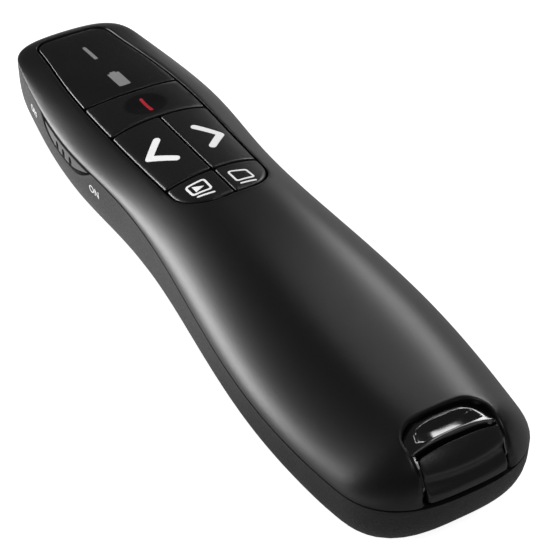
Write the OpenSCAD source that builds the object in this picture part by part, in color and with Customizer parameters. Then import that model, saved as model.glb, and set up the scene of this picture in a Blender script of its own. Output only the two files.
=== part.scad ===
// Hand-held wireless presentation clicker with a docked USB receiver.
// X = 0 is the middle plane, +X the user's right, +Y the laser end, +Z up.
// The origin is under the middle of the body, on the surface it rests on.

/* [Body] */
// Length of the body, tail to laser end
body_l = 135; // [132:0.5:142]
// Greatest width of the body
body_w = 36.5; // [36:0.5:42]
// Height of the crown above the seam at the palm
crown_h = 10; // [9.5:0.1:12]
// Height of the seam above the rest surface at the palm
seam_h = 12; // [11.8:0.1:14]
// Rise of the seam from the palm to the buttons
seam_rise = 3; // [2.5:0.1:3.5]
// Wall of the two shells
wall = 1.8; // [1.4:0.1:2]
// Shadow gap between the shells
seam_gap = 0.35; // [0.2:0.05:0.5]
// Chamfer on the lower shell's rim
rim_chamfer = 0.4; // [0.2:0.1:0.6]

/* [Button cluster] */
// Width of the button cluster
cluster_w = 19.4; // [19:0.1:20.5]
// Tail edge of the cluster, ahead of the middle
cluster_y0 = 0.6; // [0.4:0.1:1.2]
// Head edge of the cluster, ahead of the middle
cluster_y1 = 65.4; // [64.6:0.1:65.6]
// Seam between the small buttons and the page buttons
seam_small_y = 9.3; // [9:0.1:10]
// Seam between the page buttons and the laser button
seam_page_y = 28.2; // [27.6:0.1:28.8]
// Seam between the laser button and the indicator panel
seam_laser_y = 39.2; // [38.6:0.1:39.8]
// Gap all round a button
button_gap = 0.36; // [0.25:0.01:0.5]
// Thickness of a button cap
cap_t = 1.3; // [1.1:0.1:1.4]
// Travel of a button
button_travel = 0.5; // [0.3:0.05:0.5]
// Depth of the thumb dish in the laser button
dish_d = 0.4; // [0.2:0.1:0.6]
// Length of the status light slit
slit_l = 5.6; // [4:0.1:7]
// Width of the status light slit
slit_w = 0.7; // [0.5:0.1:1.2]
// Length of the battery symbol's window
symbol_l = 5.2; // [4:0.1:6]
// Width of the battery symbol's window
symbol_w = 2.3; // [1.6:0.1:3]

/* [Switch] */
// Length of the power switch's slot
slot_l = 21.4; // [20:0.1:24]
// Length of the power switch's knob
knob_l = 18.2; // [16:0.1:18.2]
// Depth of the slot below the rim
slot_d = 3.4; // [3:0.1:4]
// How far the knob stands out of the wall
knob_out = 0.5; // [0.3:0.1:0.8]
// Travel of the power switch, on to off
switch_travel = 2; // [1:0.1:2]

/* [Receiver] */
// Width of the receiver's housing
receiver_w = 13.9; // [13.4:0.1:14]
// Depth of the housing along the body
receiver_d = 4.2; // [4:0.1:5]
// Width of the plug's metal shell
plug_w = 12; // [12:0.1:12.2]
// Height of the plug's metal shell
plug_h = 4.5; // [4.4:0.1:4.6]
// Length of the plug
plug_l = 12; // [11:0.5:12]
// Sheet of the plug's metal shell
plug_t = 0.3; // [0.2:0.05:0.4]
// Height of the plug's middle
plug_z = 15.4; // [15.3:0.1:15.5]
// Length of the finger scoop ahead of the receiver
scoop_l = 5.2; // [4.6:0.1:5.6]
// Depth of the finger scoop
scoop_d = 2.6; // [2:0.1:2.7]
// Clearance of the plug in its tunnel
dock_clear = 0.2; // [0.15:0.05:0.3]

/* [Batteries] */
// Diameter of a battery
cell_d = 10.5; // [10.3:0.1:10.6]
// Length of a battery with its button
cell_l = 44.5; // [43.5:0.1:44.6]
// Space between the two batteries
cell_gap = 0.7; // [0.4:0.1:1]
// Width of the battery door
door_w = 24; // [23:0.5:25]
// Gap round the battery door
door_gap = 0.4; // [0.35:0.05:0.5]

/* [Electronics] */
// Thickness of the main board
board_t = 1.2; // [1:0.1:1.6]
// Underside of the main board above the rest surface
board_z = 11.6; // [11.4:0.1:11.8]
// Width of the main board
board_w = 17.2; // [17:0.1:18]
// Side of a tact switch
tact_w = 6; // [5:0.5:6]
// Height of a tact switch's case
tact_h = 3.5; // [3.3:0.1:3.6]
// Diameter of the laser module
laser_d = 6.2; // [5.5:0.1:6.4]
// Length of the laser module
laser_l = 15; // [12:0.5:16]
// Height of the laser's axis
laser_z = 8.2; // [8:0.1:8.3]
// Diameter of a board screw's thread
screw_d = 1.4; // [1.2:0.1:1.6]
// Diameter of a case screw's thread
case_screw_d = 1.8; // [1.6:0.1:2]

/* [Hidden] */

half_l = body_l / 2;
end_e = 0.01;
// outline control values, tail to head, as parts of the half width
width_shape = [0.579, 0.801, 0.958, 1.015, 0.936, 0.812, 0.765, 0.874, 0.773, 0.596, 0.484];
// crown control values, tail to head, as parts of the crown height at the palm
crown_shape = [1.58, 0.85, 1.005, 0.91, 0.595, 0.49, 0.265, 0.135];
// seam control values, tail to head, as parts of the seam's rise
seam_shape = [2.43, -0.27, -0.13, 0.9, 0.9, 0.93, 1.97];
tail_round = 11.1;
tail_power = 2.7;
head_round = 8.2;
head_power = 3.4;
crown_tail = 8.1;
crown_head = 42.8;
belly_tail = 18;
belly_tail_power = 2.4;
belly_head = 10;
belly_head_power = 4;
belly_power = 3.1;
belly_dip = 0.6;
arch_n = 2.28;
arch_m = 1.31;
rings = 44;
arc_n = 14;

function bsp(v, t) = let (k = len(v) - 3, u = min(max(t, 0), 1) * k,
    i = min(floor(u), k - 1), f = u - i)
    (pow(1 - f, 3) * v[i] + (3 * pow(f, 3) - 6 * f * f + 4) * v[i + 1]
    + (-3 * pow(f, 3) + 3 * f * f + 3 * f + 1) * v[i + 2] + pow(f, 3) * v[i + 3]) / 6;
function capf(t, p) = pow(1 - pow(1 - min(max(t, 0), 1), p), 1 / p);
function along(y) = (y + half_l) / body_l;
function tail_a(y) = max(y + half_l, 0.0001);
function head_a(y) = max(half_l - y, 0.0001);
// half width, seam height, crown height and belly depth at a place along the body
function hw(y) = body_w / 2 * bsp(width_shape, along(y))
    * capf(tail_a(y) / tail_round, tail_power) * capf(head_a(y) / head_round, head_power);
function seam(y) = seam_h + seam_rise * bsp(seam_shape, along(y));
function crown(y) = crown_h * bsp(crown_shape, along(y))
    * capf(tail_a(y) / crown_tail, 2) * capf(head_a(y) / crown_head, 2);
function belly(y) = (seam(y) + belly_dip) * capf(tail_a(y) / belly_tail, belly_tail_power)
    * capf(head_a(y) / belly_head, belly_head_power);
function arch(r) = pow(max(1 - pow(min(abs(r), 1), arch_n), 0), 1 / arch_m);
function ztop(x, y) = seam(y) + crown(y) * arch(x / hw(y));
function zbot(x, y) = seam(y) - belly(y)
    * pow(max(1 - pow(min(abs(x / hw(y)), 1), belly_power), 0), 1 / belly_power);

function stations(a, b, n) = [for (i = [0:n]) a + (b - a) * (1 - cos(180 * i / n)) / 2];

// closed solid through rings that all have the same number of points
module loft(rs) {
    n = len(rs[0]);
    k = len(rs);
    polyhedron(points = [for (r = rs) for (p = r) p],
        faces = concat([[for (j = [n - 1:-1:0]) j]],
            [for (i = [0:k - 2]) for (j = [0:n - 1]) let (q = (j + 1) % n)
                [i * n + j, i * n + q, (i + 1) * n + q, (i + 1) * n + j]],
            [[for (j = [0:n - 1]) (k - 1) * n + j]]), convexity = 6);
}

// upper loft: inset by t, its rim lifted, with a skirt below it
function upper_ring(y, t, lift, skirt, m) = let (w = max(hw(y) - t, 0.3),
    h = max(crown(y) - t, 0.15), s = seam(y) + lift)
    concat([for (j = [0:2 * m]) let (r = cos(90 * j / m)) [w * r, y, s + h * arch(r)]],
    [[-w, y, s - skirt], [w, y, s - skirt]]);
module upper(t, lift, skirt, n, m, head = half_l) {
    loft([for (y = stations(-half_l + max(t, end_e), min(head, half_l - max(t, end_e)), n))
        upper_ring(y, t, lift, skirt, m)]);
}

// lower loft: inset by t, its floor cut flat, its rim at the seam plus lift
function lower_ring(y, t, lift, ch, m) = let (w = max(hw(y) - t, 0.3 + ch),
    b = max(belly(y) - t, 1.2), s = seam(y), rim = ch > 0 ? s + lift - ch : s)
    concat([[-w + ch, y, s + lift], [-w, y, rim]],
    [for (j = [2 * m - 1:-1:1]) let (a = 90 * j / m, c = cos(a),
        x = w * sign(c) * pow(abs(c), 2 / belly_power))
        [x, y, max(s - b * pow(sin(a), 2 / belly_power), t)]],
    [[w, y, rim], [w - ch, y, s + lift]]);
module lower(t, lift, ch, n, m, tail = -half_l, head = half_l) {
    loft([for (y = stations(max(tail, -half_l + max(t, end_e)), min(head, half_l - max(t, end_e)), n))
        lower_ring(y, t, lift, ch, m)]);
}

// slab that follows the crown between two depths, over a rectangle
module skin(x0, x1, y0, y1, t0, t1, nx, ny) {
    w = nx + 1;
    h = ny + 1;
    top = [for (j = [0:ny]) for (i = [0:nx]) let (x = x0 + (x1 - x0) * i / nx,
        y = y0 + (y1 - y0) * j / ny) [x, y, ztop(x, y) - t0]];
    bot = [for (j = [0:ny]) for (i = [0:nx]) let (x = x0 + (x1 - x0) * i / nx,
        y = y0 + (y1 - y0) * j / ny) [x, y, ztop(x, y) - t1]];
    k = w * h;
    polyhedron(points = concat(top, bot), faces = concat(
        [for (j = [0:ny - 1]) for (i = [0:nx - 1]) each [
            [j * w + i, (j + 1) * w + i, (j + 1) * w + i + 1],
            [j * w + i, (j + 1) * w + i + 1, j * w + i + 1]]],
        [for (j = [0:ny - 1]) for (i = [0:nx - 1]) each [
            [k + j * w + i, k + (j + 1) * w + i + 1, k + (j + 1) * w + i],
            [k + j * w + i, k + j * w + i + 1, k + (j + 1) * w + i + 1]]],
        [for (i = [0:nx - 1]) [i, i + 1, k + i + 1, k + i]],
        [for (i = [0:nx - 1]) [ny * w + i + 1, ny * w + i, k + ny * w + i, k + ny * w + i + 1]],
        [for (j = [0:ny - 1]) [(j + 1) * w, j * w, k + j * w, k + (j + 1) * w]],
        [for (j = [0:ny - 1]) [j * w + nx, (j + 1) * w + nx, k + (j + 1) * w + nx, k + j * w + nx]]),
        convexity = 6);
}

// ---- outline of the button cluster ----
cw = cluster_w / 2;
tail_r = 7;
nose_r = 3;
side_w = [0.928, 0.964, 0.995, 1, 0.985, 0.945, 0.875, 0.81];
side_y = [7, 17.4, 27.4, 34, 40, 46.5, 53, 58.2];
function cluster_half() = concat(
    [for (a = [-90:15:0]) [cw * side_w[0] - tail_r + tail_r * cos(a), cluster_y0 + tail_r * (1 + sin(a))]],
    [for (i = [1:len(side_w) - 1]) [cw * side_w[i], side_y[i]]],
    [for (a = [0:15:90]) [cw * 0.77 - nose_r + nose_r * cos(a), cluster_y1 - nose_r * (1 - sin(a))]]);
module cluster_2d() {
    h = cluster_half();
    polygon(concat(h, [for (i = [len(h) - 1:-1:0]) [-h[i][0], h[i][1]]]));
}
// band across the cluster, with edges that bow toward the tail in the middle
module band_2d(ya, bow_a, yb, bow_b) {
    xs = [for (i = [-6:6]) i * 2];
    polygon(concat([for (x = xs) [x, ya - bow_a * (1 - pow(x / cw, 2))]],
        [for (i = [12:-1:0]) [xs[i], yb - bow_b * (1 - pow(xs[i] / cw, 2))]]));
}
small_bow = 0.5;
laser_bow = 1;
g2 = button_gap / 2;
module rounded(r) { offset(r = r, $fn = 24) offset(delta = -r) children(); }
module small_2d(side) {
    rounded(0.5) intersection() {
        offset(delta = -button_gap) cluster_2d();
        band_2d(-5, 0, seam_small_y - g2, small_bow);
        translate([side < 0 ? -20 : g2, -5]) square([20 - g2, 40]);
    }
}
module page_2d(side) {
    rounded(0.5) intersection() {
        offset(delta = -button_gap) cluster_2d();
        band_2d(seam_small_y + g2, small_bow, seam_page_y - g2, 0);
        translate([side < 0 ? -20 : g2, -5]) square([20 - g2, 60]);
    }
}
module laser_2d() {
    rounded(0.5) intersection() {
        offset(delta = -button_gap) cluster_2d();
        band_2d(seam_page_y + g2, 0, seam_laser_y - g2, laser_bow);
    }
}
module panel_2d() {
    rounded(0.5) intersection() {
        offset(delta = -button_gap) cluster_2d();
        band_2d(seam_laser_y + g2, laser_bow, 80, 0);
    }
}
frame_top = 2;
frame_t = 1;
stem_r = 1.5;
plunger_r = 1.6;
board_top = board_z + board_t;
tact_top = board_top + tact_h;
plunger_top = tact_top + 0.7;
small_at = [4.6, 5.4];
page_at = [4.8, 18.4];
laser_at = [0, 33.4];
button_places = [laser_at, page_at, [-page_at[0], page_at[1]], small_at, [-small_at[0], small_at[1]]];

module cap_solid(x0, x1, y0, y1) {
    intersection() {
        skin(x0, x1, y0, y1, 0, cap_t, ceil((x1 - x0) / 1.6), ceil((y1 - y0) / 1.8));
        linear_extrude(40) children();
    }
}
module stem(p) {
    translate([p[0], p[1], plunger_top])
        cylinder(r = stem_r, h = ztop(p[0], p[1]) - cap_t / 2 - plunger_top, $fn = 32);
}
module plunger(p) {
    translate([p[0], p[1], tact_top - 2])
        cylinder(r = plunger_r, h = plunger_top - tact_top + 2, $fn = 32);
}

// ---- tail dock and receiver ----
rec_face = -half_l + receiver_d;
recess_w = receiver_w + 1.3;
recess_head = rec_face + 0.6 + scoop_l;
recess_r = 3.6;
plug_end = rec_face + plug_l;
plug_set = 1.2;
rec_bottom = plug_z - plug_h / 2 - 0.25;
module recess_2d(o) {
    hull() {
        for (s = [-1, 1]) translate([s * (recess_w / 2 - recess_r), recess_head - recess_r])
            circle(r = recess_r + o, $fn = 32);
        translate([-recess_w / 2 - o, -half_l - 3]) square([recess_w + 2 * o, 1]);
    }
}

// ---- batteries ----
cell_r = cell_d / 2;
cell_x = cell_r + cell_gap / 2;
floor_gap = 0.4;
cell_z = wall + floor_gap + cell_r;
bay_y0 = plug_end + 2.8;
spring_l = 2.6;
plate_t = 0.3;
bay_y1 = bay_y0 + cell_l + spring_l + 2 * plate_t + 0.3;
tray_z = cell_z + cell_r + 0.3;
tray_t = 1;
tray_w = 2 * (cell_x + cell_r) + 2.4;
door_y0 = bay_y0 - 0.6;
door_y1 = bay_y1 + 4.4;
module door_2d(o) {
    offset(r = 2.5 + o, $fn = 24) translate([-door_w / 2 + 2.5, door_y0 + 2.5])
        square([door_w - 5, door_y1 - door_y0 - 5]);
}
post_x = tray_w / 2 + 1.05;
post_r = 0.9;
tray_posts = [for (y = [bay_y0 + 11, bay_y0 + 31]) for (s = [-1, 1]) [s * post_x, y]];

// ---- screws ----
board_screws_at = [[7, 11.9], [-7, 11.9], [7, 45], [-7, 45]];
case_screws_at = [[8.4, 53.6], [-8.4, 53.6], [11.6, -54.4], [-11.6, -54.4]];
case_z = 12.2;
boss_r = 2.4;
head_z = 4.4;

// ---- power switch ----
knob_y = 36.4;
slot_y1 = knob_y + slot_l / 2;
slot_y0 = knob_y - slot_l / 2;
knob_y0 = slot_y0 + 0.3;
flange_x = 11.4;
flange_t = 0.9;
// boat outline in a plane along the body: straight at the rim, bowed below
module boat_2d(y0, l, d, p) {
    q = 0.24;
    polygon([for (i = [0:20]) let (t = i < 8 ? q * (1 - cos(90 * i / 8)) : q + (1 - q) * (i - 8) / 12)
        [y0 + l * t, t < q ? -d * sqrt(max(1 - pow(1 - t / q, 2), 0))
        : -d * (1 - pow((t - q) / (1 - q), p))]]);
}
module along_x(x0, x1) {
    translate([x0, 0, 0]) rotate([90, 0, 90]) linear_extrude(x1 - x0) children();
}

module top_shell() {
    color("#1c1c1e") difference() {
        union() {
            difference() {
                upper(0, seam_gap / 2, 0, rings, arc_n);
                upper(wall, 0, 2, 30, 10);
            }
            intersection() {
                for (p = case_screws_at) translate([p[0], p[1], case_z])
                    cylinder(r = boss_r, h = 20, $fn = 32);
                upper(wall / 2, 0, 8, 26, 8);
            }
        }
        translate([0, 0, case_z + 2.2]) linear_extrude(30) cluster_2d();
        translate([0, 0, seam(-half_l) - 6]) linear_extrude(40) recess_2d(0);
        for (p = case_screws_at) translate([p[0], p[1], case_z - 1])
            cylinder(d = case_screw_d, h = 3.2, $fn = 32);
    }
}

module bottom_shell() {
    color("#2b2b2d") difference() {
        union() {
            difference() {
                lower(0, -seam_gap / 2, rim_chamfer, rings, arc_n);
                lower(wall, 3, 0, 30, 10);
            }
            intersection() {
                union() {
                    for (p = case_screws_at) translate([p[0], p[1], 0])
                        cylinder(r = 3.1, h = case_z, $fn = 32);
                    for (p = board_screws_at) translate([p[0], p[1], 0])
                        cylinder(r = 2, h = board_z, $fn = 32);
                    for (p = tray_posts) translate([p[0], p[1], 0])
                        cylinder(r = post_r, h = tray_z, $fn = 32);
                    translate([-0.9, rec_face + 1.4, 0])
                        cube([1.8, plug_l - 1.6, plug_z - plug_h / 2 - dock_clear - 0.8]);
                    for (y = [50, 60]) translate([-3, y, 0])
                        cube([6, 1.2, laser_z - laser_d / 2 - 0.02]);
                }
                lower(wall / 2, 6, 0, 30, 10);
            }
        }
        translate([0, 0, -1]) linear_extrude(8) door_2d(0);
        translate([0, half_l - 8, laser_z]) rotate([-90, 0, 0]) cylinder(r = 2.6, h = 10, $fn = 48);
        for (p = case_screws_at) translate([p[0], p[1], 0]) {
            translate([0, 0, -1]) cylinder(r = 2.2, h = head_z + 1, $fn = 32);
            cylinder(d = case_screw_d + 0.4, h = case_z + 1, $fn = 32);
        }
        for (p = board_screws_at) translate([p[0], p[1], board_z - 5])
            cylinder(d = screw_d, h = 6, $fn = 24);
        translate([0, 0, seam(knob_y)]) along_x(-20, -10) boat_2d(slot_y0, slot_l, slot_d, 2.4);
        translate([-20, slot_y0, seam(knob_y) - 0.6]) cube([10, slot_l, 3]);
    }
}

module battery_door() {
    color("#2b2b2d") difference() {
        union() {
            intersection() {
                difference() {
                    lower(0, -seam_gap / 2, rim_chamfer, 24, arc_n, door_y0 - 8, door_y1 + 8);
                    lower(wall, 3, 0, 16, 10, door_y0 - 9, door_y1 + 9);
                }
                translate([0, 0, -1]) linear_extrude(8) door_2d(-door_gap);
            }
            for (s = [-1, 1]) translate([s * 4.2 - 2.2, 0, 0]) {
                translate([0, door_y1 - door_gap - 1.8, wall - 0.4]) cube([4.4, 1.2, 1.6]);
                translate([0, door_y1 - door_gap - 1.8, wall + 0.35]) cube([4.4, 3, 0.85]);
            }
        }
        translate([-5, door_y0 + 4.6, -2.5]) rotate([0, 90, 0]) cylinder(r = 3.1, h = 10, $fn = 48);
        for (i = [0:2]) translate([-5, door_y0 + 8.4 + i * 1.5, -0.1]) cube([10, 0.6, 0.5]);
    }
}

module battery_tray() {
    color("#26262a") difference() {
        union() {
            translate([-tray_w / 2, bay_y0 - 1.2, tray_z])
                cube([tray_w, bay_y1 - bay_y0 + 2.4, tray_t]);
            for (y = [bay_y0 - 1.2, bay_y1]) {
                translate([-7.2, y, wall + 0.9]) cube([14.4, 1.2, tray_z - wall - 0.5]);
                translate([-tray_w / 2 + 1.3, y, wall + 3]) cube([tray_w - 2.6, 1.2, tray_z - wall - 2.6]);
            }
            for (s = [-1, 1]) translate([s * (tray_w / 2 - 0.45) - 0.45, bay_y0 - 1.2, cell_z + 1.6])
                cube([0.9, bay_y1 - bay_y0 + 2.4, tray_z - cell_z - 1]);
            for (y = [bay_y0 + 11, bay_y0 + 31]) translate([-post_x - post_r + 0.2, y - 1.4, tray_z])
                cube([2 * (post_x + post_r - 0.2), 2.8, tray_t]);
        }
        translate([-cell_gap, bay_y0 + 8, tray_z - 1]) cube([cell_gap * 2, cell_l - 14, 3]);
    }
}

module cell(x, dir) {
    translate([x, (bay_y0 + bay_y1) / 2 + dir * (bay_y1 - bay_y0 - cell_l - 2 * plate_t) / 2, cell_z])
        rotate([-90 * dir, 0, 0]) translate([0, 0, -cell_l / 2]) {
            cylinder(r = cell_r, h = cell_l - 0.9, $fn = 64);
            translate([0, 0, cell_l - 0.9]) cylinder(r = 1.9, h = 0.9, $fn = 32);
        }
}
module battery_left() { color("#b9bcc2") cell(-cell_x, 1); }
module battery_right() { color("#b9bcc2") cell(cell_x, -1); }

// one conical spring, as the cone that it fills
module battery_springs() {
    color("#c9ccd0") {
        translate([-cell_x, bay_y0 + plate_t, cell_z]) rotate([-90, 0, 0])
            cylinder(r1 = 3.4, r2 = 2.2, h = bay_y1 - bay_y0 - cell_l - 2 * plate_t, $fn = 32);
        translate([cell_x, bay_y1 - plate_t, cell_z]) rotate([90, 0, 0])
            cylinder(r1 = 3.4, r2 = 2.2, h = bay_y1 - bay_y0 - cell_l - 2 * plate_t, $fn = 32);
    }
}

module battery_contacts() {
    color("#d8d2b0") for (s = [-1, 1]) for (y = [bay_y0, bay_y1 - plate_t])
        translate([s * cell_x - 4, y, cell_z - 4]) cube([8, plate_t, 8]);
}

board_head = half_l - 18.3;
module main_board() {
    color("#1f5a34") difference() {
        union() {
            translate([-board_w / 2, bay_y1 + 2.3, board_z]) cube([board_w, board_head - bay_y1 - 2.3, board_t]);
            translate([-5, bay_y1 + 10.5, board_z]) cube([10, half_l - 6.9 - bay_y1 - 10.5, board_t]);
        }
        for (p = board_screws_at) translate([p[0], p[1], board_z - 1])
            cylinder(d = screw_d + 0.3, h = board_t + 2, $fn = 24);
    }
}

module tact_switches() {
    color("#3a3a3c") for (p = button_places) translate([p[0], p[1], board_top]) difference() {
        translate([-tact_w / 2, -tact_w / 2, 0]) cube([tact_w, tact_w, tact_h]);
        translate([0, 0, tact_h - 2 - button_travel - 0.2]) cylinder(r = plunger_r + 0.08, h = 4, $fn = 32);
    }
}

lever_z = seam(knob_y) - 1;
module slide_switch() {
    color("#b4b6ba") difference() {
        translate([-board_w / 2 + 0.3, knob_y - 4.4, board_top]) cube([3.6, 8.8, 2.3]);
        translate([-board_w / 2, knob_y - 1.3, board_top + 0.6]) cube([2.4, switch_travel + 2.6, 1.4]);
    }
}

module radio_chip() {
    color("#19191b") {
        translate([-2.5, board_head - 25, board_top]) cube([5, 5, 0.9]);
        translate([-4.6, board_head - 0.2, board_top]) cube([3.2, 3.2, 0.8]);
    }
}
module crystal() {
    color("#c9ccd0") translate([-1.6, 10.6, board_top]) cube([3.2, 2.5, 0.8]);
}
module status_led() {
    color("#e8e4c8") translate([-0.8, (slit_y0 + slit_y1) / 2 - 0.5, board_top]) cube([1.6, 1, 0.7]);
}
module battery_leds() {
    color("#e8e4c8") for (s = [-1, 1]) translate([s * 1 - 0.4, symbol_y0 + symbol_l / 2 - 0.8, board_top])
        cube([0.8, 1.6, 0.7]);
}

module board_screws() {
    color("#8d9096") for (p = board_screws_at) translate([p[0], p[1], board_top]) {
        cylinder(r = 1.35, h = 0.9, $fn = 32);
        translate([0, 0, -4]) cylinder(d = screw_d - 0.1, h = 4.01, $fn = 24);
    }
}

module case_screws() {
    color("#8d9096") for (p = case_screws_at) translate([p[0], p[1], head_z - 1.3]) difference() {
        union() {
            cylinder(r = 1.8, h = 1.3, $fn = 32);
            cylinder(d = case_screw_d - 0.1, h = case_z - head_z + 3.2, $fn = 32);
        }
        for (a = [0, 90]) rotate(a) translate([-1.2, -0.25, -0.1]) cube([2.4, 0.5, 0.7]);
    }
}

module laser_module() {
    color("#c8a04a") translate([0, half_l - 3.4 - laser_l, laser_z]) rotate([-90, 0, 0]) difference() {
        cylinder(d = laser_d, h = laser_l, $fn = 64);
        translate([0, 0, laser_l - 1.5]) cylinder(r = 1.6, h = 3, $fn = 32);
    }
}
module laser_lens() {
    color("#30343a") translate([0, half_l - 2.6, laser_z]) rotate([-90, 0, 0])
        cylinder(r = 2.55, h = 1.5, $fn = 48);
}

module button_frame() {
    color("#141416") difference() {
        intersection() {
            skin(-11.2, 11.2, -1, 63, frame_top, frame_top + frame_t, 16, 32);
            linear_extrude(40) intersection() {
                offset(delta = 1) cluster_2d();
                translate([-12, -1]) square([24, 64]);
            }
        }
        for (p = button_places) translate([p[0], p[1], 0]) cylinder(r = stem_r + 0.35, h = 40, $fn = 32);
        for (p = case_screws_at) translate([p[0], p[1], 0]) cylinder(r = boss_r + 0.3, h = 40, $fn = 32);
        translate([-slit_w / 2 - 0.15, slit_y0 - 0.15, 0]) cube([slit_w + 0.3, slit_l + 0.3, 40]);
        translate([-symbol_w / 2 - 0.15, symbol_y0 - 0.15, 0])
            cube([symbol_w + 0.3, symbol_l + 0.3, 40]);
    }
}

slit_y0 = 52.9;
slit_y1 = slit_y0 + slit_l;
symbol_y0 = 41;
module slit_2d(o) {
    translate([-slit_w / 2 - o, slit_y0 - o]) square([slit_w + 2 * o, slit_l + 2 * o]);
}
module symbol_2d(o) {
    translate([-symbol_w / 2 - o, symbol_y0 - o]) square([symbol_w + 2 * o, symbol_l + 2 * o]);
    translate([-symbol_w / 4 - o, symbol_y0 + symbol_l - 1]) square([symbol_w / 2 + 2 * o, 1.5 + o]);
}
module indicator_panel() {
    color("#101012") difference() {
        intersection() {
            skin(-cw - 0.4, cw + 0.4, 37.5, 65.8, 0, 1.9, 13, 18);
            linear_extrude(40) panel_2d();
        }
        linear_extrude(40) {
            slit_2d(0.02);
            symbol_2d(0.02);
        }
    }
}
module status_light_guide() {
    color("#9a9da0") intersection() {
        skin(-1.5, 1.5, slit_y0 - 1, slit_y1 + 1, 0, 2.7, 3, 6);
        linear_extrude(40) slit_2d(0);
    }
}
module battery_light_guide() {
    color("#6a6d70") intersection() {
        skin(-2.5, 2.5, symbol_y0 - 1, symbol_y0 + symbol_l + 1.5, 0, 1.85, 5, 6);
        linear_extrude(40) symbol_2d(0);
    }
}

module laser_button() {
    color("#161618") difference() {
        union() {
            cap_solid(-cw - 0.2, cw + 0.2, 27, 40.5) laser_2d();
            stem(laser_at);
        }
        translate([0, 33, ztop(0, 33) - dish_d + 26]) sphere(r = 26, $fn = 96);
    }
}
module laser_plunger() { color("#2a2a2c") plunger(laser_at); }
module previous_button() {
    color("#161618") union() {
        cap_solid(-cw - 0.2, 0.2, 8, 29) page_2d(-1);
        stem([-page_at[0], page_at[1]]);
    }
}
module previous_plunger() { color("#2a2a2c") plunger([-page_at[0], page_at[1]]); }
module next_button() {
    color("#161618") union() {
        cap_solid(-0.2, cw + 0.2, 8, 29) page_2d(1);
        stem(page_at);
    }
}
module next_plunger() { color("#2a2a2c") plunger(page_at); }
module start_button() {
    color("#1a1a1c") union() {
        cap_solid(-cw - 0.2, 0.2, 0, 10) small_2d(-1);
        stem([-small_at[0], small_at[1]]);
    }
}
module start_plunger() { color("#2a2a2c") plunger([-small_at[0], small_at[1]]); }
module blank_button() {
    color("#1a1a1c") union() {
        cap_solid(-0.2, cw + 0.2, 0, 10) small_2d(1);
        stem(small_at);
    }
}
module blank_plunger() { color("#2a2a2c") plunger(small_at); }

// the knob follows the wall in plan and slides through its slot
module power_switch() {
    ys = [for (i = [0:10]) knob_y0 - 1 + (knob_l + 2) * i / 10];
    color("#2f2f31") difference() {
        union() {
            intersection() {
                linear_extrude(40) polygon(concat([for (y = ys) [-hw(y) - knob_out, y]],
                    [for (i = [10:-1:0]) [-hw(ys[i]) + 2.2, ys[i]]]));
                translate([0, 0, seam(knob_y) - 0.3]) along_x(-20, -8)
                    boat_2d(knob_y0, knob_l, slot_d - 0.7, 1.7);
            }
            translate([-hw(knob_y) + 1, knob_y - 7, seam(knob_y) - 2.2])
                cube([hw(knob_y) - 1 - flange_x + 0.1, 6.5, 1.5]);
            translate([-flange_x, knob_y - 7, seam(knob_y) - 2.6]) cube([flange_t, 14, 2.2]);
        }
        for (i = [0:2]) translate([-hw(knob_y) - knob_out - 1, knob_y - 4.6 + i * 3.1, seam(knob_y) - 4])
            cube([1.5, 0.6, 3.2]);
    }
}
module switch_lever() {
    color("#d0d0d0") translate([-flange_x + flange_t, knob_y - 1, board_top + 0.8])
        cube([flange_x - flange_t - board_w / 2 + 2, 2, 0.8]);
}

module receiver_housing() {
    color("#1f1f21") difference() {
        intersection() {
            upper(0.15, 0, 4, 16, arc_n, rec_face + 8);
            translate([-receiver_w / 2, -half_l, rec_bottom]) cube([receiver_w, receiver_d, 12]);
        }
        translate([-10, -half_l - 0.3, plug_z - 0.3]) rotate([0, 90, 0]) cylinder(r = 1.1, h = 20, $fn = 32);
        translate([-plug_w / 2, rec_face - plug_set, plug_z - plug_h / 2]) cube([plug_w, plug_set + 1, plug_h]);
    }
}
module receiver_plug() {
    color("#c7cacf") translate([-plug_w / 2, rec_face - plug_set, plug_z - plug_h / 2]) difference() {
        cube([plug_w, plug_l + plug_set, plug_h]);
        translate([plug_t, 0.4, plug_t]) cube([plug_w - 2 * plug_t, plug_l + 4, plug_h - 2 * plug_t]);
        for (s = [-1, 1]) translate([plug_w / 2 + s * 2.75 - 1, plug_l - 4.4 + plug_set, -1])
            cube([2, 2.2, plug_h + 2]);
    }
}
module receiver_tongue() {
    color("#202024") translate([-plug_w / 2 + plug_t, rec_face - plug_set + 0.4, plug_z - plug_h / 2 + plug_t])
        cube([plug_w - 2 * plug_t, plug_l + plug_set - 0.7, 1.7]);
}
module receiver_contacts() {
    color("#d9b24c") for (i = [0:3]) translate([-4 + i * 2.33, rec_face + 3.5, plug_z - plug_h / 2 + plug_t + 1.7])
        cube([1, plug_l - 4.2, 0.15]);
}
module receiver_board() {
    color("#1f5a34") translate([-plug_w / 2 + 0.6, rec_face - plug_set + 0.4, plug_z - plug_h / 2 + plug_t + 1.7])
        cube([plug_w - 1.2, 3.8, 0.8]);
}

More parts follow.
